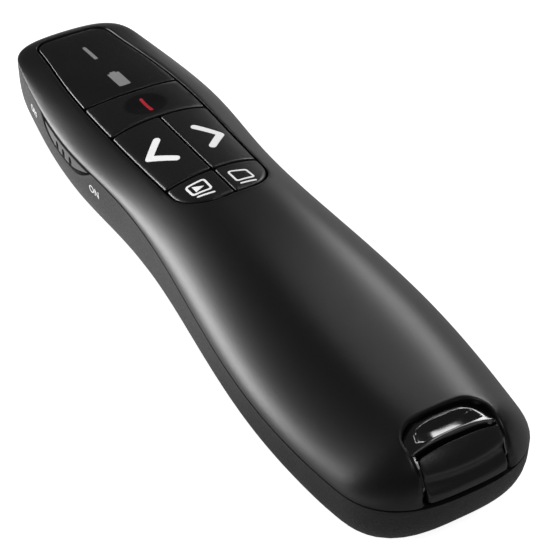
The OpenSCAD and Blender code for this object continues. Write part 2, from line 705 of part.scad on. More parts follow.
module receiver_dock() {
    tz = plug_z + plug_h / 2 + dock_clear;
    bz = plug_z - plug_h / 2 - dock_clear;
    ms = ztop(0, recess_head - scoop_l / 2);
    color("#0c0c0e") difference() {
        union() {
            intersection() {
                upper(wall + 0.35, 0, 6, 14, 10, rec_face + 15);
                translate([-plug_w / 2 - 1.2, rec_face + 0.3, bz - 0.8])
                    cube([plug_w + 2.4, plug_l + 0.9, plug_h + 2 * dock_clear + 1.6]);
            }
            intersection() {
                upper(0.3, 0, 0, 16, arc_n, rec_face + 14);
                translate([0, 0, plug_z]) linear_extrude(10) difference() {
                    recess_2d(-0.15);
                    translate([-20, -half_l - 5]) square([40, receiver_d + 5.3]);
                }
            }
            for (s = [-1, 1]) intersection() {
                upper(0.6, 0, 0, 10, 8, rec_face + 8);
                translate([s * (receiver_w / 2 + 0.34) - 0.13, rec_face - 2.6, rec_bottom]) cube([0.26, 4, 8]);
            }
        }
        translate([-plug_w / 2 - dock_clear, rec_face - 1, bz])
            cube([plug_w + 2 * dock_clear, plug_l + 1.4, tz - bz]);
        translate([0, recess_head - scoop_l / 2 - 0.1, ms]) scale([recess_w / 2 - 0.75, scoop_l / 2, scoop_d])
            sphere(r = 1, $fn = 40);
    }
}

top_shell();
bottom_shell();
battery_door();
battery_tray();
battery_left();
battery_right();
battery_springs();
battery_contacts();
main_board();
tact_switches();
slide_switch();
radio_chip();
crystal();
status_led();
battery_leds();
board_screws();
case_screws();
laser_module();
laser_lens();
button_frame();
indicator_panel();
status_light_guide();
battery_light_guide();
laser_button();
laser_plunger();
previous_button();
previous_plunger();
next_button();
next_plunger();
start_button();
start_plunger();
blank_button();
blank_plunger();
power_switch();
switch_lever();
receiver_housing();
receiver_plug();
receiver_tongue();
receiver_contacts();
receiver_board();
receiver_dock();
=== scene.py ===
import math
import bpy
import numpy as np
from mathutils import Matrix, Vector


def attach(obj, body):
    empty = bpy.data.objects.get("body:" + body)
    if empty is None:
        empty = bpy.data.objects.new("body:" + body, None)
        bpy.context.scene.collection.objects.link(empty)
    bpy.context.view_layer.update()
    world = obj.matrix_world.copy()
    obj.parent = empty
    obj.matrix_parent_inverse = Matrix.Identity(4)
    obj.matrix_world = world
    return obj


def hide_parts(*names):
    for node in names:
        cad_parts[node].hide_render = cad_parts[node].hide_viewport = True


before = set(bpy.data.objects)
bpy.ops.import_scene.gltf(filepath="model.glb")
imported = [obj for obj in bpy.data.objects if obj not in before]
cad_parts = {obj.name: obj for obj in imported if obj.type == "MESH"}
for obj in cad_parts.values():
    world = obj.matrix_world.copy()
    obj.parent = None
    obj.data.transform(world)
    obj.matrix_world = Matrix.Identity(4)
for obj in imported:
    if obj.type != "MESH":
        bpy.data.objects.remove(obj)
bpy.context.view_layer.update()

# Camera, floor and lamps.
# The clicker lies on a plain pale floor with its tail towards the viewer, seen from above and from its left.
# Long soft boxes on its left and right draw the broad highlights along its shoulders.
turn, tilt, lean = math.radians(-30.93), math.radians(40.39), math.radians(0.37)
PHOTO_WIDTH, FOCAL_PIXELS, SENSOR, DISTANCE = 550, 1851.4, 36, 0.2962
look_at = Vector((-0.00279, -0.01646, 0.01739))
look_back = Vector((math.sin(turn) * math.cos(tilt), -math.cos(turn) * math.cos(tilt), math.sin(tilt)))
bpy.ops.object.camera_add(location=look_at + look_back * DISTANCE)
camera = bpy.context.object
camera.rotation_euler = (Matrix.Rotation(turn, 3, "Z") @ Matrix.Rotation(math.pi / 2 - tilt, 3, "X")
                         @ Matrix.Rotation(lean, 3, "Z")).to_euler()
camera.data.lens = FOCAL_PIXELS / PHOTO_WIDTH * SENSOR
camera.data.sensor_width = SENSOR
camera.data.clip_start = 0.01
camera.data.clip_end = 20
bpy.context.scene.camera = camera
bpy.context.scene.view_settings.view_transform = "Standard"

bpy.ops.mesh.primitive_plane_add(size=8, location=(0, 0, 0))
floor = bpy.context.object
floor.name = "studio_floor"
paper = bpy.data.materials.new("studio_paper")
paper.use_nodes = True
nodes, links = paper.node_tree.nodes, paper.node_tree.links
nodes.clear()
matt, glow = nodes.new("ShaderNodeBsdfDiffuse"), nodes.new("ShaderNodeEmission")
both, pick = nodes.new("ShaderNodeAddShader"), nodes.new("ShaderNodeMixShader")
ray, surface = nodes.new("ShaderNodeLightPath"), nodes.new("ShaderNodeOutputMaterial")
matt.inputs["Color"].default_value = (0.82, 0.82, 0.82, 1)
glow.inputs["Strength"].default_value = 0.93
seen, mirrored, faint = (nodes.new("ShaderNodeMath") for _ in range(3))
seen.operation, mirrored.operation, faint.operation = "MAXIMUM", "MAXIMUM", "MULTIPLY"
links.new(ray.outputs["Is Camera Ray"], seen.inputs[0])
links.new(ray.outputs["Is Transmission Ray"], seen.inputs[1])
links.new(seen.outputs[0], mirrored.inputs[0])
# As mirrored in the clicker, the floor is dim under it and brighter away to its left.
place, along = nodes.new("ShaderNodeTexCoord"), nodes.new("ShaderNodeVectorMath")
lift = nodes.new("ShaderNodeMapRange")
along.operation, along.inputs[1].default_value = "DOT_PRODUCT", (-0.8, 0.6, 0)
lift.inputs["From Min"].default_value, lift.inputs["From Max"].default_value = -0.002, 0.034
lift.inputs["To Min"].default_value, lift.inputs["To Max"].default_value = 0.06, 0.75
links.new(place.outputs["Object"], along.inputs[0])
links.new(along.outputs["Value"], lift.inputs["Value"])
links.new(ray.outputs["Is Glossy Ray"], faint.inputs[0])
links.new(lift.outputs["Result"], faint.inputs[1])
links.new(faint.outputs[0], mirrored.inputs[1])
links.new(mirrored.outputs[0], pick.inputs[0])
links.new(matt.outputs[0], pick.inputs[1])
links.new(matt.outputs[0], both.inputs[0])
links.new(glow.outputs[0], both.inputs[1])
links.new(both.outputs[0], pick.inputs[2])
links.new(pick.outputs[0], surface.inputs[0])
floor.data.materials.append(paper)

studio = bpy.data.worlds.new("studio_air")
studio.use_nodes = True
studio.node_tree.nodes["Background"].inputs[0].default_value = (1, 1, 1, 1)
studio.node_tree.nodes["Background"].inputs[1].default_value = 0.07
bpy.context.scene.world = studio


def soft_box(name, place, size, power, long_way=(1, -1, 0)):
    """A rectangular lamp that faces the clicker, with its long side along the given way."""
    bpy.ops.object.light_add(type="AREA", location=place)
    lamp = bpy.context.object
    lamp.name = name
    lamp.data.shape = "RECTANGLE"
    lamp.data.size, lamp.data.size_y = size
    lamp.data.energy = power
    back = (Vector(place) - Vector((0, 0, 0.01))).normalized()
    side = (Vector(long_way) - back * back.dot(Vector(long_way))).normalized()
    lamp.rotation_euler = Matrix((side, back.cross(side), back)).transposed().to_euler()


soft_box("lamp_left", (-0.66, 0.65, 0.11), (0.62, 0.2), 6.6, (0.7, 0.71, 0))
soft_box("lamp_right", (0.8, 0.48, 0.36), (0.4, 0.3), 1.7, (0.5, -0.86, 0))
soft_box("lamp_high", (0.42, 0.52, 0.72), (0.7, 0.07), 0.65, (0.62, 0.01, -0.37))
soft_box("lamp_head", (-0.38, 0.85, 0.26), (0.4, 0.08), 1.5, (0.9, 0.4, 0.1))
soft_box("lamp_top", (0.45, 0.12, 0.9), (0.2, 0.15), 0.5)
bpy.data.objects["lamp_top"].data.shape = "ELLIPSE"
soft_box("lamp_over", (-0.12, -0.51, 0.83), (0.42, 0.13), 1.0, (1, -0.1, 0))

# Lower shell.
# Injection-moulded black plastic with a fine grain, about 1.8 mm thick, open at the top and cut flat underneath.
# Its rim carries a small chamfer, its left wall the switch slot, its floor the battery opening and the screw wells.
LENGTH, HALF = 135.0, 67.5
NEARLY_HALF = 67.4995  # the ends close just inside the full length
HALF_SEAM = 0.175  # half of the shadow gap between the shells
CROWN_POWER, CROWN_ROOT = 2.28, 1 / 1.31
CASE_SCREWS = ((8.4, 53.6), (-8.4, 53.6), (11.6, -54.4), (-11.6, -54.4))


def spline(values, y):
    """A smooth line along the body through evenly spaced control values, tail first."""
    v = np.array(values, float)
    k = len(v) - 3
    u = np.clip((np.asarray(y, float) + HALF) / LENGTH, 0, 1) * k
    i = np.minimum(np.floor(u).astype(int), k - 1)
    f = u - i
    return ((1 - f) ** 3 * v[i] + (3 * f ** 3 - 6 * f * f + 4) * v[i + 1]
            + (-3 * f ** 3 + 3 * f * f + 3 * f + 1) * v[i + 2] + f ** 3 * v[i + 3]) / 6


def end_round(t, p):
    """Rises from 0 to 1 as a rounded end does."""
    return (1 - (1 - np.clip(t, 0, 1)) ** p) ** (1 / p)


def half_width(y):
    return (18.25 * spline([0.579, 0.801, 0.958, 1.015, 0.936, 0.812, 0.765, 0.874, 0.773, 0.596, 0.484], y)
            * end_round((y + HALF) / 11.1, 2.7) * end_round((HALF - y) / 8.2, 3.4))


def seam_height(y):
    return 12 + 3 * spline([2.43, -0.27, -0.13, 0.9, 0.9, 0.93, 1.97], y)


def crown_height(y):
    return (10 * spline([1.58, 0.85, 1.005, 0.91, 0.595, 0.49, 0.265, 0.135], y)
            * end_round((y + HALF) / 8.1, 2) * end_round((HALF - y) / 42.8, 2))


def belly_depth(y):
    return (seam_height(y) + 0.6) * end_round((y + HALF) / 18, 2.4) * end_round((HALF - y) / 10, 4)


def top_height(x, y):
    r = np.minimum(np.abs(x) / np.maximum(half_width(y), 0.01), 1)
    return seam_height(y) + crown_height(y) * (1 - r ** CROWN_POWER) ** CROWN_ROOT


def slab(name, outline, top, bottom):
    """A flat plate of that outline, in millimetres."""
    bpy.ops.object.select_all(action="DESELECT")
    bpy.ops.mesh.primitive_circle_add(vertices=len(outline), radius=1, fill_type="NGON")
    plate = bpy.context.object
    plate.name = name
    for corner, (x, y) in zip(plate.data.vertices, outline):
        corner.co = (x, y, bottom)
    bpy.ops.object.mode_set(mode="EDIT")
    bpy.ops.mesh.select_all(action="SELECT")
    bpy.ops.mesh.extrude_region_move(TRANSFORM_OT_translate={"value": (0, 0, top - bottom)})
    bpy.ops.mesh.select_all(action="SELECT")
    bpy.ops.mesh.normals_make_consistent(inside=False)
    bpy.ops.object.mode_set(mode="OBJECT")
    return plate


def cut_out(plate, tool):
    """Cuts the tool's shape out of the plate and throws the tool away."""
    cut = plate.modifiers.new("cut", "BOOLEAN")
    cut.operation, cut.solver, cut.object = "DIFFERENCE", "EXACT", tool
    bpy.context.view_layer.objects.active = plate
    bpy.ops.object.modifier_apply(modifier="cut")
    bpy.data.objects.remove(tool)


def soften_edges(plate, wanted, width, steps=3):
    """Rounds the edges whose two ends the rule picks."""
    bpy.ops.object.select_all(action="DESELECT")
    plate.select_set(True)
    bpy.context.view_layer.objects.active = plate
    bpy.ops.object.mode_set(mode="EDIT")
    bpy.ops.mesh.select_mode(type="EDGE")
    bpy.ops.mesh.select_all(action="DESELECT")
    bpy.ops.object.mode_set(mode="OBJECT")
    points = np.empty(len(plate.data.vertices) * 3)
    plate.data.vertices.foreach_get("co", points)
    points = points.reshape(-1, 3)
    for edge in plate.data.edges:
        edge.select = bool(wanted(points[edge.vertices[0]], points[edge.vertices[1]]))
    bpy.ops.object.mode_set(mode="EDIT")
    bpy.ops.mesh.bevel(offset=width, offset_type="OFFSET", segments=steps, profile=0.5, clamp_overlap=True)
    bpy.ops.object.mode_set(mode="OBJECT")


def score(plate, across, places):
    """Cuts the plate into cells, so that it can be bent."""
    bpy.ops.object.select_all(action="DESELECT")
    plate.select_set(True)
    bpy.context.view_layer.objects.active = plate
    bpy.ops.object.mode_set(mode="EDIT")
    for place in places:
        bpy.ops.mesh.select_all(action="SELECT")
        if across == "x":
            bpy.ops.mesh.bisect(plane_co=(place, 0, 0), plane_no=(1, 0, 0))
        else:
            bpy.ops.mesh.bisect(plane_co=(0, place, 0), plane_no=(0, 1, 0))
    bpy.ops.object.mode_set(mode="OBJECT")


def bend(plate, rule, crease=35):
    """Moves the flat plate's points onto the body's form, in metres, and shades it."""
    points = np.empty(len(plate.data.vertices) * 3)
    plate.data.vertices.foreach_get("co", points)
    x, y, z = points.reshape(-1, 3).T
    plate.data.vertices.foreach_set("co", (np.stack(rule(x, y, z), -1) / 1000).ravel())
    plate.data.update()
    bpy.ops.object.select_all(action="DESELECT")
    plate.select_set(True)
    bpy.context.view_layer.objects.active = plate
    bpy.ops.object.mode_set(mode="EDIT")
    bpy.ops.mesh.select_all(action="SELECT")
    bpy.ops.mesh.remove_doubles(threshold=0.000004)
    bpy.ops.mesh.select_all(action="SELECT")
    bpy.ops.mesh.normals_make_consistent(inside=False)
    bpy.ops.object.mode_set(mode="OBJECT")
    bpy.ops.object.shade_smooth_by_angle(angle=math.radians(crease))


def finish_of(name, colour, shade, rough, rough_spread=0.06, grain=0.0, grain_size=0.35, metal=0.0, coat=0.0,
              specular=0.5, wear=0.0):
    """A moulded or metal finish: two colours that drift, a grain and a roughness that varies."""
    m = bpy.data.materials.new(name)
    m.use_nodes = True
    n, l = m.node_tree.nodes, m.node_tree.links
    skin = n["Principled BSDF"]
    skin.inputs["Metallic"].default_value = metal
    skin.inputs["Specular IOR Level"].default_value = specular
    skin.inputs["Coat Weight"].default_value = coat
    skin.inputs["Coat Roughness"].default_value = 0.08
    where = n.new("ShaderNodeTexCoord")
    drift = n.new("ShaderNodeTexNoise")
    drift.inputs["Scale"].default_value = 90
    drift.inputs["Detail"].default_value = 4
    l.new(where.outputs["Object"], drift.inputs["Vector"])
    ramp = n.new("ShaderNodeValToRGB")
    ramp.color_ramp.elements[0].position, ramp.color_ramp.elements[1].position = 0.35, 0.65
    ramp.color_ramp.elements[0].color = (*shade, 1)
    ramp.color_ramp.elements[1].color = (*colour, 1)
    l.new(drift.outputs["Fac"], ramp.inputs["Fac"])
    l.new(ramp.outputs["Color"], skin.inputs["Base Color"])
    fine = n.new("ShaderNodeTexNoise")
    fine.inputs["Scale"].default_value = 1000 / grain_size
    fine.inputs["Detail"].default_value = 3
    l.new(where.outputs["Object"], fine.inputs["Vector"])
    spread = n.new("ShaderNodeMapRange")
    spread.inputs["From Min"].default_value, spread.inputs["From Max"].default_value = 0.3, 0.7
    spread.inputs["To Min"].default_value = rough - rough_spread
    spread.inputs["To Max"].default_value = rough + rough_spread
    l.new(fine.outputs["Fac"], spread.inputs["Value"])
    l.new(spread.outputs["Result"], skin.inputs["Roughness"])
    if grain:
        relief = n.new("ShaderNodeBump")
        relief.inputs["Strength"].default_value = grain
        relief.inputs["Distance"].default_value = grain_size * 0.0004
        l.new(fine.outputs["Fac"], relief.inputs["Height"])
        l.new(relief.outputs["Normal"], skin.inputs["Normal"])
    return m


def join(pieces):
    """Makes one object of the pieces, under the last one's name."""
    bpy.ops.object.select_all(action="DESELECT")
    for piece in pieces:
        piece.select_set(True)
    bpy.context.view_layer.objects.active = pieces[-1]
    bpy.ops.object.join()


def round_corners(corners, radius):
    """Outline of a rectangle with round corners: each corner's middle and the angle that its arc starts at."""
    return [(x + radius * math.cos(math.radians(start + v)), y + radius * math.sin(math.radians(start + v)))
            for x, y, start in corners for v in range(0, 91, 15)]


def paint(piece, finish):
    """Gives the piece that one finish."""
    piece.data.materials.clear()
    piece.data.materials.append(finish)


def spaced(a, b, step):
    """Even places from a to b, about a step apart."""
    return np.linspace(a, b, max(int(round((b - a) / step)), 1) + 1)


ROLL = 14.0  # radius that the flat plate's width is rolled on
POWER = 3.1  # squareness of the lower shell's section


def roll_of(x_share):
    """Place round the lower shell's section, from the left rim to the right rim, of a point x across its floor."""
    s = np.abs(x_share)
    d = (1 - np.minimum(s, 1) ** POWER) ** (1 / POWER)
    a = np.arctan2(d, s)
    return np.where(np.asarray(x_share) < 0, a, math.pi - a) * ROLL - ROLL * math.pi / 2


def roll_at_depth(depth, y):
    """Place round the section of a point on the left wall, that far below the seam."""
    d = np.minimum(depth / belly_depth(y), 0.999)
    return np.arctan2(d, (1 - d ** POWER) ** (1 / POWER)) * ROLL - ROLL * math.pi / 2


def wrap_lower(r, y, w):
    """Bends a flat plate round the lower shell: r round the section, y along it, w outwards from its skin."""
    t = -w
    closing = np.clip((69 - np.abs(y)) / 1.5, 0, 1)
    y = np.clip(y, -NEARLY_HALF, NEARLY_HALF)
    a = np.clip(r / ROLL + math.pi / 2, 0, math.pi)
    c, s = np.cos(a), np.sin(a)
    size = (np.abs(c) ** POWER + np.abs(s) ** POWER) ** (1 / POWER)
    place = y * (HALF - np.maximum(t, 0)) / HALF
    wide = half_width(y) * (1 - t / np.maximum(half_width(y), 14))
    deep = belly_depth(y) * (1 - t / np.maximum(belly_depth(y), 12))
    rim = seam_height(place) - HALF_SEAM
    x = -wide * c / size * closing
    z = np.maximum(rim - (deep - HALF_SEAM) * s / size * closing, np.maximum(t, 0))
    return x, place, z


shell_r = ROLL * math.pi / 2
ends = np.array([67.499, 67.47, 67.4, 67.3, 67.1, 66.8, 66.4, 65.9, 65.3, 64.6, 63.8, 62.8, 61.6, 60.2])
lower_shell = slab("lower_shell_skin", [(-shell_r, -69), (shell_r, -69), (shell_r, 69), (-shell_r, 69)],
                   0, -1.8)


def boat(start, length, depth, stern, power, pieces=14):
    """Outline of the switch slot: straight at the rim, curved up over the stern's share, steeper at the head end."""
    low = []
    for i in range(2 * pieces + 1):
        t = stern * i / pieces
        if i > pieces:
            t = stern + (1 - stern) * math.sin(math.pi / 2 * (i - pieces) / pieces)
        dip = math.sin(math.pi / 2 * t / stern) if t < stern else 1 - ((t - stern) / (1 - stern)) ** power
        low.append((start + length * t, depth * dip))
    return low


slot = [(float(roll_at_depth(max(d, 0.0), y)), y) for y, d in boat(25.7, 21.4, 3.4, 0.32, 7)]
slot = [(-shell_r - 1, 25.7)] + slot + [(-shell_r - 1, 47.1)]
cut_out(lower_shell, slab("slot_tool", slot, 3, -4))
DOOR_CORNERS = ((9.5, 1.4, 0), (-9.5, 1.4, 90), (-9.5, -46.6, 180), (9.5, -46.6, 270))
DOOR_RADIUS, DOOR_GAP = 2.5, 0.25


def divide_sides(corners):
    """Adds points along an outline's long sides, so that they follow the shell when it is bent."""
    out = []
    for k, (x, y) in enumerate(corners):
        nx, ny = corners[(k + 1) % len(corners)]
        for t in np.linspace(0, 1, 2 if abs(nx - x) + abs(ny - y) < 3 else 25)[:-1]:
            out.append((x + (nx - x) * t, y + (ny - y) * t))
    return out


def on_floor(points):
    """Places of the plan's points on the flat plate that becomes the lower shell."""
    return [(float(roll_of(x / half_width(y))), y) for x, y in points]


door_rim = divide_sides(round_corners(DOOR_CORNERS, DOOR_RADIUS))
cut_out(lower_shell, slab("door_tool", on_floor(door_rim), 3, -4))
for wx, wy in CASE_SCREWS:
    ring = [(wx + 2.2 * math.cos(math.pi * k / 16), wy + 2.2 * math.sin(math.pi * k / 16)) for k in range(32)]
    cut_out(lower_shell, slab("well_tool", on_floor(ring), 3, -4))
soften_edges(lower_shell, lambda p, q: p[2] > -0.01 and q[2] > -0.01 and not (
    abs(abs(p[1]) - 69) < 0.01 and abs(abs(q[1]) - 69) < 0.01), 0.3, 2)
score(lower_shell, "x", spaced(-shell_r, shell_r, 1.3)[1:-1])
score(lower_shell, "y", np.concatenate([-ends[1:], spaced(-59, 59, 1.5), ends[1:]]))
bend(lower_shell, wrap_lower)
bpy.ops.mesh.primitive_cylinder_add(vertices=64, radius=0.0026, depth=0.01, location=(0, 0.0645, 0.0082),
                                    rotation=(math.pi / 2, 0, 0))
cut_out(lower_shell, bpy.context.object)
for wx, wy in CASE_SCREWS:
    bpy.ops.object.select_all(action="DESELECT")
    bpy.ops.mesh.primitive_cylinder_add(vertices=48, radius=0.00265, depth=0.0035, end_fill_type="NOTHING",
                                        location=(wx / 1000, wy / 1000, 0.0032))
    well = bpy.context.object
    bpy.ops.object.transform_apply(location=True, rotation=True, scale=True)
    wall = well.modifiers.new("wall", "SOLIDIFY")
    wall.thickness, wall.offset = 0.0007, 0
    bpy.ops.object.modifier_apply(modifier="wall")
    for point in well.data.vertices:
        if point.co.z < 0.003:
            across, down = point.co.x * 1000, belly_depth(point.co.y * 1000)
            share = min(abs(across / half_width(point.co.y * 1000)), 0.99)
            skin = seam_height(point.co.y * 1000) - down * (1 - share ** POWER) ** (1 / POWER)
            point.co.z = min(skin + 0.8, 4.85) / 1000
    join([well, lower_shell])
bpy.ops.object.shade_smooth_by_angle(angle=math.radians(35))
lower_black = finish_of("grained_black_plastic", (0.015, 0.015, 0.016), (0.010, 0.010, 0.011), 0.5, 0.1, grain=1.0,
                        grain_size=0.3)
paint(lower_shell, lower_black)
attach(lower_shell, "body")
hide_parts("bottom_shell")

# Top shell.
# One black moulding with a satin paint, from the seam over the back to the nose, on four bosses over the case screws.
# Two windows are cut in it, for the button cluster at the head and for the receiver's dock at the tail.
ARC = 22.0  # half width of the flat plate that is bent over the top
CLUSTER = 9.7  # half width of the button cluster
cluster_y = np.array([7.6, 17.4, 27.4, 34, 40, 46.5, 53, 58.2, 62.4])
cluster_x = CLUSTER * np.array([0.928, 0.964, 0.995, 1, 0.985, 0.945, 0.875, 0.81, 0.77])
slopes = np.gradient(cluster_x, cluster_y)


def cluster_side(y):
    """Half width of the button cluster, as a smooth line through its measured places."""
    k = int(np.clip(np.searchsorted(cluster_y, y) - 1, 0, len(cluster_y) - 2))
    h = cluster_y[k + 1] - cluster_y[k]
    t = (y - cluster_y[k]) / h
    return ((2 * t ** 3 - 3 * t * t + 1) * cluster_x[k] + (t ** 3 - 2 * t * t + t) * h * slopes[k]
            + (3 * t * t - 2 * t ** 3) * cluster_x[k + 1] + (t ** 3 - t * t) * h * slopes[k + 1])


def cluster_outline(inset):
    """Outline of the button cluster: a wide round tail end, curved sides and small corners at the head."""
    wide, small = 7 - inset, 3 - inset
    right = [(2.0 + wide * math.cos(a), 7.6 + wide * math.sin(a)) for a in np.radians(np.arange(-90, 0, 6))]
    right += [(cluster_side(y) - inset, y) for y in spaced(7.6, 62.4, 0.9)]
    right += [(4.47 + small * math.cos(a), 62.4 + small * math.sin(a)) for a in np.radians(np.arange(8, 91, 8))]
    return right + [(-x, y) for x, y in reversed(right)]


def on_top(points):
    """Places of the plan's points on the flat plate that becomes the top shell."""
    return [(float(2 / math.pi * np.arcsin(np.clip(x / half_width(y), -1, 1))) * ARC, y) for x, y in points]


def wrap_top(u, y, w):
    """Bends a flat plate over the top shell: u across the section, y along it, w outwards from its skin."""
    t = -w
    y = np.clip(y, -NEARLY_HALF, NEARLY_HALF)
    a = np.clip(u / ARC, -1, 1) * math.pi / 2
    share = np.abs(np.sin(a))
    arch = np.maximum(1 - share ** CROWN_POWER, 0) ** CROWN_ROOT
    wide = half_width(y)
    x0, z0 = wide * np.sin(a), seam_height(y) + HALF_SEAM + crown_height(y) * arch
    place = y * (HALF - np.maximum(t, 0)) / HALF
    wide2 = wide * (1 - t / np.maximum(wide, 14))
    high2 = np.maximum(crown_height(y) - t, 0.0)
    x1 = wide2 * np.sin(a)
    z1 = seam_height(place) + HALF_SEAM + high2 * arch
    turned = np.clip((share - 0.78) / 0.2, 0, 1)
    tail = np.clip((-58.5 - y) / 4, 0, 1)
    b = np.maximum(turned * turned * (3 - 2 * turned), tail)
    return x0 * (1 - b) + x1 * b, y * (1 - b) + place * b, (z0 - t * 1.05) * (1 - b) + z1 * b


tail_y = -67.499 + next(d for d in np.arange(0, 3, 0.005) if half_width(-67.499 + d) > 7.62)
notch = [(7.6, y) for y in spaced(tail_y, -61.1, 0.4)[:-1]]
notch += [(4 + 3.6 * math.cos(a), -61.1 + 3.6 * math.sin(a)) for a in np.radians(np.arange(0, 91, 7.5))]
notch = on_top(notch)
rim = [(ARC, 69), (-ARC, 69), (-ARC, tail_y)] + [(-x, y) for x, y in notch] + list(reversed(notch)) + [(ARC, tail_y)]
top_shell = slab("top_shell_skin", rim, 0, -1.4)
cut_out(top_shell, slab("cluster_tool", on_top(cluster_outline(0)), 3, -4))


def window_edge(p, q):
    """Whether an edge runs round one of the two windows."""
    m = (p + q) / 2
    return p[2] > -0.01 and q[2] > -0.01 and abs(abs(m[0]) - ARC) > 0.05 and abs(m[1]) < 67


soften_edges(top_shell, lambda p, q: window_edge(p, q) and p[1] > -10, 0.4, 4)
soften_edges(top_shell, lambda p, q: window_edge(p, q) and p[1] < -10, 0.5, 5)
soften_edges(top_shell, lambda p, q: p[2] > -0.01 and q[2] > -0.01 and abs(abs(p[0]) - ARC) < 0.01
             and abs(abs(q[0]) - ARC) < 0.01, 0.25, 2)
score(top_shell, "x", spaced(-ARC, ARC, 1.1)[1:-1])
score(top_shell, "y", np.concatenate([-ends[1:], spaced(-59, 59, 1.3), ends[1:]]))
bend(top_shell, wrap_top)
top_black = finish_of("satin_black_paint", (0.0075, 0.0075, 0.008), (0.006, 0.006, 0.0065), 0.34, 0.03, grain=0.08,
                      grain_size=0.25)
paint(top_shell, top_black)
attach(top_shell, "body")
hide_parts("top_shell")

# Indicator panel and buttons.
# Glossier black caps that stand in the top shell's window with a narrow gap round each, on a frame under them.
# The panel is fixed and holds the two light windows; the five buttons press down on their switches.


def seam_line(at, bow):
    """A seam across the cluster, bowed towards the tail in the middle."""
    return lambda x: at - bow * (1 - (x / CLUSTER) ** 2)


def cap_outline(tail_line, head_line, side, inset=0.36, half_gap=0.18, corner=0.5):
    """Outline of one cap between two seams, and right or left of the middle gap where it is one of a pair."""
    outline = cluster_outline(inset)
    rules = []
    if tail_line:
        rules.append((lambda x, y: y - tail_line(x) - half_gap, lambda x: tail_line(x) + half_gap))
    if head_line:
        rules.append((lambda x, y: head_line(x) - half_gap - y, lambda x: head_line(x) - half_gap))
    if side:
        rules.append((lambda x, y: x * side - half_gap, None))
    corners = []
    for keep, line in rules:
        kept, cuts = [], []
        n = len(outline)
        for k in range(n):
            p, q = outline[k], outline[(k + 1) % n]
            fp, fq = keep(*p), keep(*q)
            if fp >= 0:
                kept.append(p)
            if (fp >= 0) != (fq >= 0):
                a, b = (p, q) if fp >= 0 else (q, p)
                for _ in range(40):
                    m = ((a[0] + b[0]) / 2, (a[1] + b[1]) / 2)
                    a, b = (m, b) if keep(*m) >= 0 else (a, m)
                kept.append(a)
                cuts.append(a)
                if fp >= 0 and line:
                    first = a
                    leaving = len(kept)
        if line:
            last = [c for c in cuts if c != first][0]
            between = [(x, float(line(x))) for x in np.linspace(first[0], last[0], 16)[1:-1]]
            kept[leaving:leaving] = between
        corners = [c for c in corners if keep(*c) >= 0] + cuts
        outline = kept
    return fillet(outline, corners, corner)


def fillet(outline, corners, radius):
    """Rounds the named corners of an outline."""
    for c in corners:
        n = len(outline)
        k = min(range(n), key=lambda i: (outline[i][0] - c[0]) ** 2 + (outline[i][1] - c[1]) ** 2)
        here = np.array(outline[k])
        keep = [i for i in range(n) if i == k or np.hypot(*(np.array(outline[i]) - here)) > radius * 1.5]
        outline = [outline[i] for i in keep]
        k = keep.index(k)
        n = len(outline)
        a, b = np.array(outline[k - 1]) - here, np.array(outline[(k + 1) % n]) - here
        a, b = a / np.hypot(*a), b / np.hypot(*b)
        half = math.acos(np.clip(a @ b, -1, 1)) / 2
        if half > 1.45:
            continue
        reach = radius / math.tan(half)
        middle = here + (a + b) / np.hypot(*(a + b)) * radius / math.sin(half)
        p, q = here + a * reach - middle, here + b * reach - middle
        a0, a1 = math.atan2(p[1], p[0]), math.atan2(q[1], q[0])
        swing = (a1 - a0 + math.pi) % (2 * math.pi) - math.pi
        arc = [(middle[0] + radius * math.cos(a0 + swing * t), middle[1] + radius * math.sin(a0 + swing * t))
               for t in np.linspace(0, 1, 6)]
        outline = outline[:k] + arc + outline[k + 1:]
    return outline


small_seam, page_seam, laser_seam = seam_line(9.3, 0.5), seam_line(28.2, 0), seam_line(39.2, 1)


def lay_on_top(x, y, z):
    """Bends a flat plate over the body's top."""
    return x, y, top_height(x, y) + z


def thumb_dip(x, y, z):
    """The same, with a shallow dish for the thumb pressed into the plate's upper side."""
    away = np.minimum(np.hypot(x / 5.4, (y - 33.2) / 4.2), 1)
    return x, y, top_height(x, y) + z - 0.34 * (1 + np.cos(math.pi * away)) / 2 * (z > -0.7)


panel_black = finish_of("glossy_black_panel", (0.011, 0.011, 0.012), (0.008, 0.008, 0.009), 0.24, 0.03, grain=0.05,
                        grain_size=0.3)
dimple_black = finish_of("polished_dimple_button", (0.012, 0.012, 0.013), (0.009, 0.009, 0.010), 0.30, 0.03, grain=0.08,
                         grain_size=0.25)
n, l = dimple_black.node_tree.nodes, dimple_black.node_tree.links
spot, away, edge = n.new("ShaderNodeTexCoord"), n.new("ShaderNodeVectorMath"), n.new("ShaderNodeMapRange")
flat_place, dull = n.new("ShaderNodeVectorMath"), n.new("ShaderNodeMapRange")
flat_place.operation, flat_place.inputs[1].default_value = "MULTIPLY", (1, 1.15, 0)
away.operation, away.inputs[1].default_value = "DISTANCE", (0, 0.0332 * 1.15, 0)
l.new(spot.outputs["Object"], flat_place.inputs[0])
l.new(flat_place.outputs[0], away.inputs[0])
edge.inputs["From Min"].default_value, edge.inputs["From Max"].default_value = 0.0036, 0.0044
l.new(away.outputs["Value"], edge.inputs["Value"])
dull.inputs["To Min"].default_value, dull.inputs["To Max"].default_value = 0.1, 0.5
l.new(edge.outputs["Result"], dull.inputs["Value"])
l.new(dull.outputs["Result"], n["Principled BSDF"].inputs["Specular IOR Level"])
button_black = finish_of("satin_black_button", (0.014, 0.014, 0.015), (0.011, 0.011, 0.012), 0.30, 0.03, grain=0.08,
                         grain_size=0.25)
